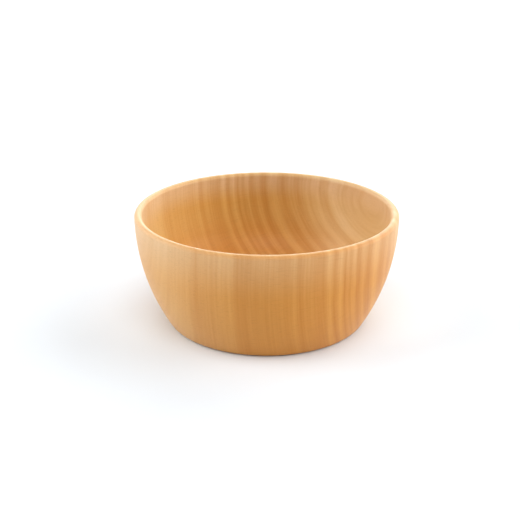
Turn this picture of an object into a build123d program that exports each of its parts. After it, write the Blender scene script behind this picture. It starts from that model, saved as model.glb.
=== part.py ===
from build123d import *
import os
from math import sqrt

# Shaving bowl, turned from one block of pale hardwood. A full-round lip runs into a wall that bulges
# outward and thickens towards the base. The inside is dished, and a shallow recess turned into the
# underside leaves a foot ring that the bowl stands on.
# Millimetres, +Z up, origin at the centre of the standing face.

# Driving dimensions
OUTER_DIAMETER = 110.0  # widest, at the lip
HEIGHT = 47.5  # standing face to the top of the lip
LIP_THICKNESS = 3.2  # the lip is a full round of this diameter
OUTER_WALL_CURVE = 87.0  # section radius of the wall's outside
INNER_WALL_CURVE = 70.0  # section radius of the wall's inside
INNER_DEPTH = 39.5  # top of the lip to the middle of the floor
FLOOR_DISH = 1.6  # rise of the floor from its middle to the start of the wall
INNER_CORNER = 20.0  # radius between the wall's inside and the floor
FOOT_EDGE = 2.6  # rounding between the wall's outside and the standing face
RECESS_DIAMETER = 64.0  # underside recess
RECESS_DEPTH = 1.5
RECESS_CORNER = 0.8
FOOT_RING_EDGE = 0.5  # rounding of the foot ring's inner edge

# Derived dimensions
lip_height = HEIGHT - LIP_THICKNESS / 2
lip_radius = (OUTER_DIAMETER - LIP_THICKNESS) / 2
outer_radius = OUTER_DIAMETER / 2
inner_radius = outer_radius - LIP_THICKNESS
recess_radius = RECESS_DIAMETER / 2
floor_height = HEIGHT - INNER_DEPTH


def wall_radius(radius_at_lip, curve, height):
    """The radius, at a height, of a wall arc that is upright where it meets the lip."""
    return radius_at_lip - curve + sqrt(curve**2 - (lip_height - height) ** 2)


# Corners of the section, as (radius, height)
lip_outside = (outer_radius, lip_height)
lip_inside = (inner_radius, lip_height)
foot_corner = (wall_radius(outer_radius, OUTER_WALL_CURVE, 0), 0)
ring_corner = (recess_radius, 0)
recess_corner = (recess_radius, RECESS_DEPTH)
recess_middle = (0, RECESS_DEPTH)
floor_middle = (0, floor_height)
floor_edge_height = floor_height + FLOOR_DISH
floor_corner = (
    wall_radius(inner_radius, INNER_WALL_CURVE, floor_edge_height),
    floor_edge_height,
)
floor_curve = (floor_corner[0] ** 2 + FLOOR_DISH**2) / (2 * FLOOR_DISH)

# Bowl
with BuildPart() as bowl:
    with BuildSketch(Plane.XZ) as section:
        with BuildLine():
            RadiusArc(foot_corner, lip_outside, -OUTER_WALL_CURVE)
            CenterArc((lip_radius, lip_height), LIP_THICKNESS / 2, 0, 180)
            RadiusArc(lip_inside, floor_corner, INNER_WALL_CURVE)
            RadiusArc(floor_corner, floor_middle, floor_curve)
            Polyline(floor_middle, recess_middle, recess_corner, ring_corner, foot_corner)
        make_face()
        for corner, rounding in (
            (floor_corner, INNER_CORNER),
            (foot_corner, FOOT_EDGE),
            (recess_corner, RECESS_CORNER),
            (ring_corner, FOOT_RING_EDGE),
        ):
            fillet(section.vertices().sort_by_distance(corner)[0], rounding)
    revolve(axis=Axis.Z)

bowl.part.label = "bowl"

os.makedirs("parts", exist_ok=True)
export_step(bowl.part, "parts/bowl.step")
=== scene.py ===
from math import acos, atan2, cos, hypot, pi, radians, sin, sqrt

import bpy
import numpy as np
from mathutils import Euler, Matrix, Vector


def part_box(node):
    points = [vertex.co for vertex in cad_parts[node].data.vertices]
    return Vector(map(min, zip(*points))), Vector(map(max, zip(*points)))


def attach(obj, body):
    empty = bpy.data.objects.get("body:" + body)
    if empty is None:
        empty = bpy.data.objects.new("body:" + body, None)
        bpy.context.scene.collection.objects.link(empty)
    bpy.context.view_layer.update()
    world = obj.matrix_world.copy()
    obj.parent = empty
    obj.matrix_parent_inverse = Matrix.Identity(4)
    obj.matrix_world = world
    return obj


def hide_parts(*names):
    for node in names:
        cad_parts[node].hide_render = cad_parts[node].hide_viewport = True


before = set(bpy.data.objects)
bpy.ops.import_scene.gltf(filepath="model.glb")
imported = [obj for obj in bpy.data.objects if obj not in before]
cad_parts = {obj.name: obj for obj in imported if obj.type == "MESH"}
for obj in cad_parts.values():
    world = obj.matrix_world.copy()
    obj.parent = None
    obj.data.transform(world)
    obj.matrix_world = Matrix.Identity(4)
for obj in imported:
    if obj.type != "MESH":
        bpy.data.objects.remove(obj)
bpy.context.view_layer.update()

# ---------------------------------------------------------------------------------------------
# Driving dimensions, in metres. The bowl's width and height come from its part in model.glb.
# ---------------------------------------------------------------------------------------------
LOW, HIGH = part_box("bowl")
OUTER_RADIUS = (HIGH.x - LOW.x) / 2
HEIGHT = HIGH.z - LOW.z

LIP_THICKNESS = 0.0032  # the lip is a full round
OUTER_CURVE = 0.087  # section radius of the wall's outside
INNER_CURVE = 0.070  # section radius of the wall's inside
FLOOR_HEIGHT = 0.0080  # middle of the floor above the standing face
FLOOR_DISH = 0.0016  # rise of the floor from its middle to the start of the wall
INNER_CORNER = 0.020  # radius between the wall's inside and the floor
FOOT_EDGE = 0.0026  # rounding between the wall's outside and the standing face
RECESS_RADIUS = 0.032  # underside recess
RECESS_DEPTH = 0.0015
RECESS_CORNER = 0.0008
RING_EDGE = 0.0005  # rounding of the foot ring's inner edge

SEGMENTS = 400  # facets round the bowl

# ---------------------------------------------------------------------------------------------
# The block of wood that the bowl was turned from, in millimetres. The fibres lie level. The growth
# rings are cylinders round a pith that lies beside the bowl, along the fibres.
# ---------------------------------------------------------------------------------------------
MM = 1000.0
FIBRE_ANGLE = radians(23.9)  # from -Y towards +X, seen from above
ACROSS = (cos(FIBRE_ANGLE), sin(FIBRE_ANGLE), 0.0)  # level, from the bowl towards the pith
ALONG = (sin(FIBRE_ANGLE), -cos(FIBRE_ANGLE), 0.0)  # along the fibres
PITH_DISTANCE = 85.0  # from the bowl's axis
PITH_HEIGHT = 40.0

# Growth rings: how far each lies from the bowl's axis, towards the pith, and its tone, from -1 for the
# darkest latewood line to 1 for the palest band. Between them the tone runs smoothly.
RING_SPAN = 56.0
RINGS = (
    (-56, 0.0), (-47, 0.1), (-43.8, -0.4), (-40, 0.0), (-34.5, 0.5), (-32, -0.3), (-20, 0.2),
    (-15, -0.1), (-12.8, 0.5), (-10.7, -0.6), (-8.8, 0.1), (-1.2, -0.5), (1, 1.0), (3.4, -0.8), (6, 1.0),
    (7.8, -0.8), (9.3, 0.2), (10.6, -0.5), (12.5, 0.6), (14.4, -1.0), (17.2, 0.3), (20, -1.0),
    (23.8, 0.9), (28, -0.9), (31.2, 0.2), (33.4, -0.6), (36, 0.4), (38, 0.0), (40, 0.9), (42.2, -0.6),
    (44.5, 0.7), (48, -0.4),
)


# ---------------------------------------------------------------------------------------------
# Section of the bowl
# ---------------------------------------------------------------------------------------------
def arc(centre, radius, start, end, steps):
    """Points on an arc of the section, as (radius, height). Angles in radians from level, outward."""
    angles = np.linspace(start, end, steps)
    return [(centre[0] + radius * cos(a), centre[1] + radius * sin(a)) for a in angles]


def direction(origin, target):
    """Angle of the line from one section point to another."""
    return atan2(target[1] - origin[1], target[0] - origin[0])


def rounding_centre(wall_centre, wall_curve, floor_centre, floor_curve, rounding):
    """Centre of the arc that touches a wall arc and a floor arc from within both."""
    to_wall = wall_curve - rounding
    to_floor = floor_curve - rounding
    apart = hypot(floor_centre[0] - wall_centre[0], floor_centre[1] - wall_centre[1])
    turn = acos((to_wall**2 + apart**2 - to_floor**2) / (2 * to_wall * apart))
    angle = direction(wall_centre, floor_centre) - turn
    return wall_centre[0] + to_wall * cos(angle), wall_centre[1] + to_wall * sin(angle)


def section():
    """The bowl's half section, from the middle of the underside round to the middle of the floor."""
    lip_height = HEIGHT - LIP_THICKNESS / 2
    outer_centre = (OUTER_RADIUS - OUTER_CURVE, lip_height)
    inner_centre = (OUTER_RADIUS - LIP_THICKNESS - INNER_CURVE, lip_height)

    foot_reach = OUTER_CURVE - FOOT_EDGE
    foot_centre = (outer_centre[0] + sqrt(foot_reach**2 - (lip_height - FOOT_EDGE) ** 2), FOOT_EDGE)
    foot_turn = direction(outer_centre, foot_centre)

    edge_drop = lip_height - FLOOR_HEIGHT - FLOOR_DISH
    floor_radius = inner_centre[0] + sqrt(INNER_CURVE**2 - edge_drop**2)
    floor_curve = (floor_radius**2 + FLOOR_DISH**2) / (2 * FLOOR_DISH)
    floor_centre = (0.0, FLOOR_HEIGHT + floor_curve)
    corner_centre = rounding_centre(inner_centre, INNER_CURVE, floor_centre, floor_curve, INNER_CORNER)
    corner_turn = direction(inner_centre, corner_centre)
    floor_turn = direction(floor_centre, corner_centre)

    recess_corner = (RECESS_RADIUS - RECESS_CORNER, RECESS_DEPTH - RECESS_CORNER)
    ring_corner = (RECESS_RADIUS + RING_EDGE, RING_EDGE)
    lip_centre = (OUTER_RADIUS - LIP_THICKNESS / 2, lip_height)

    points = [(r, RECESS_DEPTH) for r in np.linspace(0, recess_corner[0], 10)[:-1]]
    points += arc(recess_corner, RECESS_CORNER, pi / 2, 0, 6)
    points += arc(ring_corner, RING_EDGE, pi, 1.5 * pi, 5)
    points += [(r, 0.0) for r in np.linspace(ring_corner[0], foot_centre[0], 6)[1:-1]]
    points += arc(foot_centre, FOOT_EDGE, -pi / 2, foot_turn, 9)
    points += arc(outer_centre, OUTER_CURVE, foot_turn, 0, 62)[1:]
    points += arc(lip_centre, LIP_THICKNESS / 2, 0, pi, 19)[1:]
    points += arc(inner_centre, INNER_CURVE, 0, corner_turn, 40)[1:]
    points += arc(corner_centre, INNER_CORNER, corner_turn, floor_turn, 18)[1:]
    points += arc(floor_centre, floor_curve, floor_turn, -pi / 2, 12)[1:]
    return np.array(points)


# ---------------------------------------------------------------------------------------------
# Mesh
# ---------------------------------------------------------------------------------------------
def turn(profile, name):
    """A closed mesh made by turning a section about Z. The section starts and ends on the axis."""
    off_axis = profile[1:-1]
    angles = np.arange(SEGMENTS) * 2 * pi / SEGMENTS
    verts = [(0.0, 0.0, profile[0][1])]
    for r, z in off_axis:
        verts += [(r * cos(a), r * sin(a), z) for a in angles]
    verts.append((0.0, 0.0, profile[-1][1]))
    last = len(verts) - 1
    innermost = 1 + (len(off_axis) - 1) * SEGMENTS

    faces = []
    for i in range(SEGMENTS):
        j = (i + 1) % SEGMENTS
        faces.append((0, 1 + j, 1 + i))
        for row in range(len(off_axis) - 1):
            a = 1 + row * SEGMENTS
            b = a + SEGMENTS
            faces.append((a + i, a + j, b + j, b + i))
        faces.append((innermost + i, innermost + j, last))

    mesh = bpy.data.meshes.new(name)
    mesh.from_pydata(verts, [], faces)
    mesh.shade_smooth()
    mesh.validate()
    piece = bpy.data.objects.new(name, mesh)
    bpy.context.scene.collection.objects.link(piece)
    return piece


# ---------------------------------------------------------------------------------------------
# Material helpers
# ---------------------------------------------------------------------------------------------
class Nodes:
    """Short ways to add shader nodes to one material and link them."""

    def __init__(self, material):
        self.tree = material.node_tree
        self.tree.nodes.clear()

    def add(self, kind, **settings):
        node = self.tree.nodes.new(kind)
        for key, value in settings.items():
            setattr(node, key, value)
        return node

    def plug(self, value, socket):
        """Links an output to a socket, or sets the socket to a constant."""
        if isinstance(value, bpy.types.NodeSocket):
            self.tree.links.new(value, socket)
        else:
            socket.default_value = value

    def math(self, operation, *values):
        node = self.add("ShaderNodeMath", operation=operation)
        for value, socket in zip(values, node.inputs):
            self.plug(value, socket)
        return node.outputs[0]

    def vector_math(self, operation, *values, output="Vector"):
        node = self.add("ShaderNodeVectorMath", operation=operation)
        for value, socket in zip(values, node.inputs):
            self.plug(value, socket)
        return node.outputs[output]

    def combine(self, x, y, z):
        node = self.add("ShaderNodeCombineXYZ")
        for value, socket in zip((x, y, z), node.inputs):
            self.plug(value, socket)
        return node.outputs[0]

    def noise(self, vector, scale=1.0, detail=2.0):
        """Noise of about -1 to 1, with its middle at 0."""
        node = self.add("ShaderNodeTexNoise", noise_dimensions="3D")
        self.plug(vector, node.inputs["Vector"])
        node.inputs["Scale"].default_value = scale
        node.inputs["Detail"].default_value = detail
        node.inputs["Roughness"].default_value = 0.5
        return self.math("MULTIPLY_ADD", node.outputs["Fac"], 4.0, -2.0)

    def stretched(self, vector, size, detail=2.0):
        """Noise whose features have about this size, given as x, y and z."""
        scaled = self.vector_math("DIVIDE", vector, size)
        return self.noise(scaled, detail=detail)

    def smooth_range(self, value, low, high):
        """0 up to the low value and 1 from the high value on, with a smooth change between them."""
        node = self.add("ShaderNodeMapRange", interpolation_type="SMOOTHSTEP")
        self.plug(value, node.inputs["Value"])
        node.inputs["From Min"].default_value = low
        node.inputs["From Max"].default_value = high
        return node.outputs["Result"]

    def mix_values(self, factor, a, b):
        """a where the factor is 0 and b where it is 1."""
        return self.math("MULTIPLY_ADD", self.math("SUBTRACT", b, a), factor, a)

    def mix(self, factor, a, b, blend="MIX"):
        """Colour a where the factor is 0 and its blend with colour b where it is 1."""
        node = self.add("ShaderNodeMix", data_type="RGBA", blend_type=blend)
        self.plug(factor, node.inputs["Factor"])
        for value, name in ((a, "A"), (b, "B")):
            socket = next(s for s in node.inputs if s.name == name and s.type == "RGBA")
            self.plug(value, socket)
        return next(s for s in node.outputs if s.type == "RGBA")


# ---------------------------------------------------------------------------------------------
# Wood
# ---------------------------------------------------------------------------------------------
SIDE_GRAIN = (0.600, 0.308, 0.098, 1.0)  # oiled wood seen along the face of the fibres
END_GRAIN = (0.550, 0.223, 0.038, 1.0)  # the cut ends of the fibres take up more oil
PAINTED_SHEEN = (0.62, 0.405, 0.220, 1.0)  # painted sheen: the pale, whitish colour that light gives the upper wall towards the lip
INSIDE = (1.01, 1.28, 1.80, 1.0)  # painted light and shade: the inside's walls above its floor are paler, and the bottom of the hollow is left darker and redder where shade falls
PALE_BAND = (1.13, 1.25, 1.43, 1.0)  # how a pale growth band tints the wood
DARK_BAND = (0.90, 0.82, 0.69, 1.0)  # how a dark growth line tints it

# Heights above the standing face, in mm, over which the colour changes: the painted light and shade
# inside, and the painted sheen near the lip
INSIDE_LIGHT_HEIGHTS = (8.0, 32.0)
SHEEN_HEIGHTS_OUTSIDE = (27.0, 49.0)
SHEEN_HEIGHTS_INSIDE = (34.0, 46.0)

# How strong the painted sheen beside the lip gets, from 0 to 1
SHEEN_OUTSIDE = 0.75
SHEEN_INSIDE = 0.80
SHEEN_LOST_ON_ENDS = 0.30  # taken off that outside, where the fibres are cut across
SHEEN_LOST_ON_CROWN = 0.65  # the share of it that the lip's crown loses

# Size of each feature of the grain, in mm: towards the pith, along the fibres, and round the pith
SWAY = (30.0, 45.0, 14.0)  # slow wander of the growth rings
SWAY_DEPTH = 0.35  # mm
FINE_RINGS = (0.7, 60.0, 30.0)  # faint lines between the growth rings
RAYS = (8.0, 1.6, 0.20)  # thin plates that run from the pith outward
FIBRES = (0.14, 9.0, 0.14)  # fibres and pores: hair-fine lines, or dots on a cut end
CLOUD = (12.0, 40.0, 16.0)  # slow changes of colour through the block

ROUGHNESS = 0.46  # satin oil
RELIEF_DEPTH = 0.00003  # metres


def grain_space(n, point):
    """Position in the block, in mm: towards the pith, along the fibres, and round the pith."""
    point = n.vector_math("SCALE", point)
    point.node.inputs["Scale"].default_value = MM
    across = n.vector_math("DOT_PRODUCT", point, ACROSS, output="Value")
    along = n.vector_math("DOT_PRODUCT", point, ALONG, output="Value")
    height = n.vector_math("DOT_PRODUCT", point, (0.0, 0.0, 1.0), output="Value")
    to_pith = n.math("SUBTRACT", PITH_DISTANCE, across)
    rise = n.math("SUBTRACT", height, PITH_HEIGHT)
    ring_radius = n.math("SQRT", n.math("MULTIPLY_ADD", rise, rise, n.math("MULTIPLY", to_pith, to_pith)))
    depth = n.math("SUBTRACT", PITH_DISTANCE, ring_radius)
    around = n.math("MULTIPLY", n.math("ARCTAN2", rise, to_pith), PITH_DISTANCE)
    return n.combine(depth, along, around)


def ring_tone(n, grain):
    """Tone of the growth rings, from 0 for a dark line through 0.5 to 1 for a pale band."""
    sway = n.stretched(grain, SWAY)
    depth = n.vector_math("DOT_PRODUCT", grain, (1.0, 0.0, 0.0), output="Value")
    depth = n.math("MULTIPLY_ADD", sway, SWAY_DEPTH, depth)
    place = n.math("MULTIPLY_ADD", depth, 0.5 / RING_SPAN, 0.5)
    ramp = n.add("ShaderNodeValToRGB")
    ramp.color_ramp.interpolation = "CARDINAL"
    positions = [0.5 + 0.5 * mm / RING_SPAN for mm, tone in RINGS]
    stops = ramp.color_ramp.elements
    stops[0].position = positions[0]
    stops[1].position = positions[-1]
    for position in positions[1:-1]:
        stops.new(position)
    for stop, (mm, tone) in zip(stops, RINGS):
        grey = 0.5 + 0.4 * tone
        stop.color = (grey, grey, grey, 1.0)
    n.plug(place, ramp.inputs["Fac"])
    return ramp.outputs["Color"]


def inside_factor(n, outward, normal):
    """1 on the inside of the wall and 0 on its outside, changing over the lip."""
    facing = n.vector_math("DOT_PRODUCT", normal, outward, output="Value")
    return n.math("SUBTRACT", 1.0, n.smooth_range(facing, -0.5, 0.5))


def level_factor(n, normal):
    """1 on the level faces and the lip's crown, 0 on an upright wall."""
    return n.math("ABSOLUTE", n.vector_math("DOT_PRODUCT", normal, (0.0, 0.0, 1.0), output="Value"))


def end_grain_factor(n, outward, level):
    """1 where the wall lies across the fibres, 0 where it lies along them and on the level faces."""
    across = n.math("ABSOLUTE", n.vector_math("DOT_PRODUCT", outward, ALONG, output="Value"))
    steep = n.math("SUBTRACT", 1.0, n.smooth_range(level, 0.75, 0.98))
    return n.math("MULTIPLY", n.smooth_range(across, 0.25, 1.0), steep)


def painted_sheen_amount(n, height, inside, end_grain, level):
    """How much painted sheen of light lies on the wood: most near the lip, but less on its crown and where
    the fibres end.
    """
    strength = n.math("MULTIPLY_ADD", end_grain, -SHEEN_LOST_ON_ENDS, SHEEN_OUTSIDE)
    down_outside = n.math("MULTIPLY", n.smooth_range(height, *SHEEN_HEIGHTS_OUTSIDE), strength)
    down_inside = n.math("MULTIPLY", n.smooth_range(height, *SHEEN_HEIGHTS_INSIDE), SHEEN_INSIDE)
    beside_crown = n.math("MULTIPLY_ADD", level, -SHEEN_LOST_ON_CROWN, 1.0)
    return n.math("MULTIPLY", n.mix_values(inside, down_outside, down_inside), beside_crown)


def colour_with_painted_light(n, point, normal, height):
    """Colour of the oiled wood by its place on the bowl, with painted sheen near the lip and painted light
    and shade inside, before the grain is drawn on it.
    """
    outward = n.vector_math("NORMALIZE", n.vector_math("MULTIPLY", point, (1.0, 1.0, 0.0)))
    level = level_factor(n, normal)
    end_grain = end_grain_factor(n, outward, level)
    inside = inside_factor(n, outward, normal)
    colour = n.mix(end_grain, SIDE_GRAIN, END_GRAIN)
    # painted light and shade: inside, the walls are paler above the floor, and the hollow darker and
    # redder at the bottom
    painted_inside_light = n.math("MULTIPLY", inside, n.smooth_range(height, *INSIDE_LIGHT_HEIGHTS))
    colour = n.mix(painted_inside_light, colour, n.mix(1.0, colour, INSIDE, blend="MULTIPLY"))
    # painted sheen: the whitish light on the upper wall and the lip, laid into the colour
    return n.mix(painted_sheen_amount(n, height, inside, end_grain, level), colour, PAINTED_SHEEN)


def ring_tint(n, grain):
    """Tint of the growth rings, with faint lines between them."""
    fine_rings = n.stretched(grain, FINE_RINGS, detail=3.0)
    tone = n.math("MULTIPLY_ADD", fine_rings, 0.22, ring_tone(n, grain))
    return n.mix(tone, DARK_BAND, PALE_BAND)


def fine_shade(n, grain, rays, fibres):
    """Light and dark of the fine grain, as a colour close to white."""
    flecks = n.smooth_range(rays, 0.2, 0.7)  # on the flat, the strongest rays show as short dark flecks
    shade = n.math("MULTIPLY_ADD", rays, 0.03, 1.015)
    shade = n.math("MULTIPLY_ADD", flecks, -0.11, shade)
    shade = n.math("MULTIPLY_ADD", fibres, 0.045, shade)
    shade = n.math("MULTIPLY_ADD", n.stretched(grain, CLOUD), 0.02, shade)
    return n.combine(shade, shade, shade)


def turning_marks(n, point, height):
    """Faint rings left by the lathe: they depend only on the radius and the height."""
    radius = n.vector_math("LENGTH", n.vector_math("MULTIPLY", point, (MM, MM, 0.0)), output="Value")
    return n.noise(n.combine(radius, 0.0, height), scale=1.1, detail=3.0)


def relief(n, point, height, rays, fibres):
    """Bumped normal: open grain, and the marks of the lathe."""
    rise = n.math("MULTIPLY_ADD", fibres, 0.5, n.math("MULTIPLY", rays, 0.25))
    rise = n.math("MULTIPLY_ADD", turning_marks(n, point, height), 0.5, rise)
    bump = n.add("ShaderNodeBump")
    bump.inputs["Strength"].default_value = 0.5
    bump.inputs["Distance"].default_value = RELIEF_DEPTH
    n.plug(rise, bump.inputs["Height"])
    return bump.outputs["Normal"]


def wood():
    """Pale, close-grained hardwood with a satin oil finish."""
    material = bpy.data.materials.new("oiled_hardwood")
    material.use_nodes = True
    n = Nodes(material)
    place = n.add("ShaderNodeTexCoord")
    point = place.outputs["Object"]
    height = n.vector_math("DOT_PRODUCT", point, (0.0, 0.0, MM), output="Value")
    grain = grain_space(n, point)
    rays = n.stretched(grain, RAYS)
    fibres = n.stretched(grain, FIBRES)

    colour = colour_with_painted_light(n, point, place.outputs["Normal"], height)
    colour = n.mix(1.0, colour, ring_tint(n, grain), blend="MULTIPLY")
    colour = n.mix(1.0, colour, fine_shade(n, grain, rays, fibres), blend="MULTIPLY")

    shader = n.add("ShaderNodeBsdfPrincipled")
    n.plug(colour, shader.inputs["Base Color"])
    n.plug(n.math("MULTIPLY_ADD", fibres, 0.03, ROUGHNESS), shader.inputs["Roughness"])
    n.plug(relief(n, point, height, rays, fibres), shader.inputs["Normal"])
    shader.inputs["IOR"].default_value = 1.45
    shader.inputs["Specular IOR Level"].default_value = 0.22
    shader.inputs["Coat Weight"].default_value = 0.06
    shader.inputs["Coat Roughness"].default_value = 0.30
    shader.inputs["Sheen Weight"].default_value = 0.06
    shader.inputs["Sheen Roughness"].default_value = 0.45

    output = n.add("ShaderNodeOutputMaterial")
    n.plug(shader.outputs["BSDF"], output.inputs["Surface"])
    return material


# ---------------------------------------------------------------------------------------------
# Stage, light and camera
# ---------------------------------------------------------------------------------------------
# Soft lights all round: azimuth and elevation, strength, and width. Angles are in degrees. Azimuth 0
# stands behind the bowl, 90 on its right and 180 at the camera.
LIGHTS = (
    ("right", 90, 35, 1.00, 40),
    ("right_low", 90, 12, 1.52, 40),
    ("left", -90, 35, 1.27, 40),
    ("left_low", -90, 12, 1.30, 40),
    ("front_top", 180, 65, 1.35, 40),
    ("front", 180, 35, 0.22, 40),
    ("front_right", 130, 30, 0.40, 40),
    ("front_low", 180, 5, 0.25, 14),
    ("back", 0, 35, 0.63, 40),
    ("back_low", 0, 12, 0.79, 40),
    ("back_right", 45, 35, 0.94, 40),
    ("back_right_low", 45, 12, 0.79, 40),
    ("back_left_low", -45, 12, 0.79, 40),
)

PAPER = (0.735, 0.775, 0.81, 1.0)
FLOOR_GAP = 0.00003  # metres: keeps the floor and the standing face apart
FLOOR_REACH = 4.0  # metres: wide enough to fill every view


def floor():
    """A plain white sweep."""
    mesh = bpy.data.meshes.new("floor")
    sides = ((-1, -1), (1, -1), (1, 1), (-1, 1))
    corners = [(x * FLOOR_REACH, y * FLOOR_REACH, LOW.z - FLOOR_GAP) for x, y in sides]
    mesh.from_pydata(corners, [], [(0, 1, 2, 3)])
    piece = bpy.data.objects.new("floor", mesh)
    bpy.context.scene.collection.objects.link(piece)
    material = bpy.data.materials.new("white_paper")
    material.use_nodes = True
    shader = material.node_tree.nodes["Principled BSDF"]
    shader.inputs["Base Color"].default_value = PAPER
    shader.inputs["Roughness"].default_value = 0.9
    shader.inputs["Specular IOR Level"].default_value = 0.0
    mesh.materials.append(material)


def soft_light(name, azimuth, elevation, strength, width):
    """A far, wide light. The width is the angle that it fills."""
    data = bpy.data.lights.new(name, "SUN")
    data.energy = strength
    data.angle = radians(width)
    lamp = bpy.data.objects.new(name, data)
    bpy.context.scene.collection.objects.link(lamp)
    lamp.rotation_euler = Euler((radians(elevation - 90), 0, -radians(azimuth)), "XYZ")


def lights():
    """The soft lights, and a white backdrop behind them."""
    for light in LIGHTS:
        soft_light(*light)
    world = bpy.data.worlds.new("studio")
    bpy.context.scene.world = world
    world.use_nodes = True
    backdrop = world.node_tree.nodes["Background"]
    backdrop.inputs["Color"].default_value = (1.0, 1.0, 1.0, 1.0)
    backdrop.inputs["Strength"].default_value = 1.0
    world.cycles_visibility.diffuse = False  # it is the white backdrop, and the lamps light the bowl


CAMERA_PITCH = 21.7  # degrees below level
CAMERA_DISTANCE = 7.0 * OUTER_RADIUS  # from the middle of the lip, along the line of sight
CAMERA_LEFT = 0.0502 * OUTER_RADIUS  # offsets of that line, which put the bowl in its place in the picture
CAMERA_DOWN = 0.384 * OUTER_RADIUS
SENSOR_WIDTH = 36.0  # mm
LENS = 63.83  # mm


def camera():
    """The camera looks down at the bowl from the front, a little left of its axis."""
    pitch = radians(CAMERA_PITCH)
    forward = Vector((0, cos(pitch), -sin(pitch)))
    up = Vector((0, sin(pitch), cos(pitch)))
    right = Vector((1, 0, 0))
    rim_middle = Vector((0, 0, HIGH.z))
    data = bpy.data.cameras.new("camera")
    data.sensor_width = SENSOR_WIDTH
    data.lens = LENS
    data.clip_start = 0.01
    eye = bpy.data.objects.new("camera", data)
    bpy.context.scene.collection.objects.link(eye)
    eye.location = rim_middle - CAMERA_DISTANCE * forward - CAMERA_LEFT * right - CAMERA_DOWN * up
    eye.rotation_euler = Euler((pi / 2 - pitch, 0, 0), "XYZ")
    bpy.context.scene.camera = eye


# ---------------------------------------------------------------------------------------------
# The scene
# ---------------------------------------------------------------------------------------------
bowl = turn(section(), "turned_bowl")
bowl.data.materials.append(wood())
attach(bowl, "root")
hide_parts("bowl")

floor()
lights()
camera()
bpy.context.scene.view_settings.view_transform = "Standard"
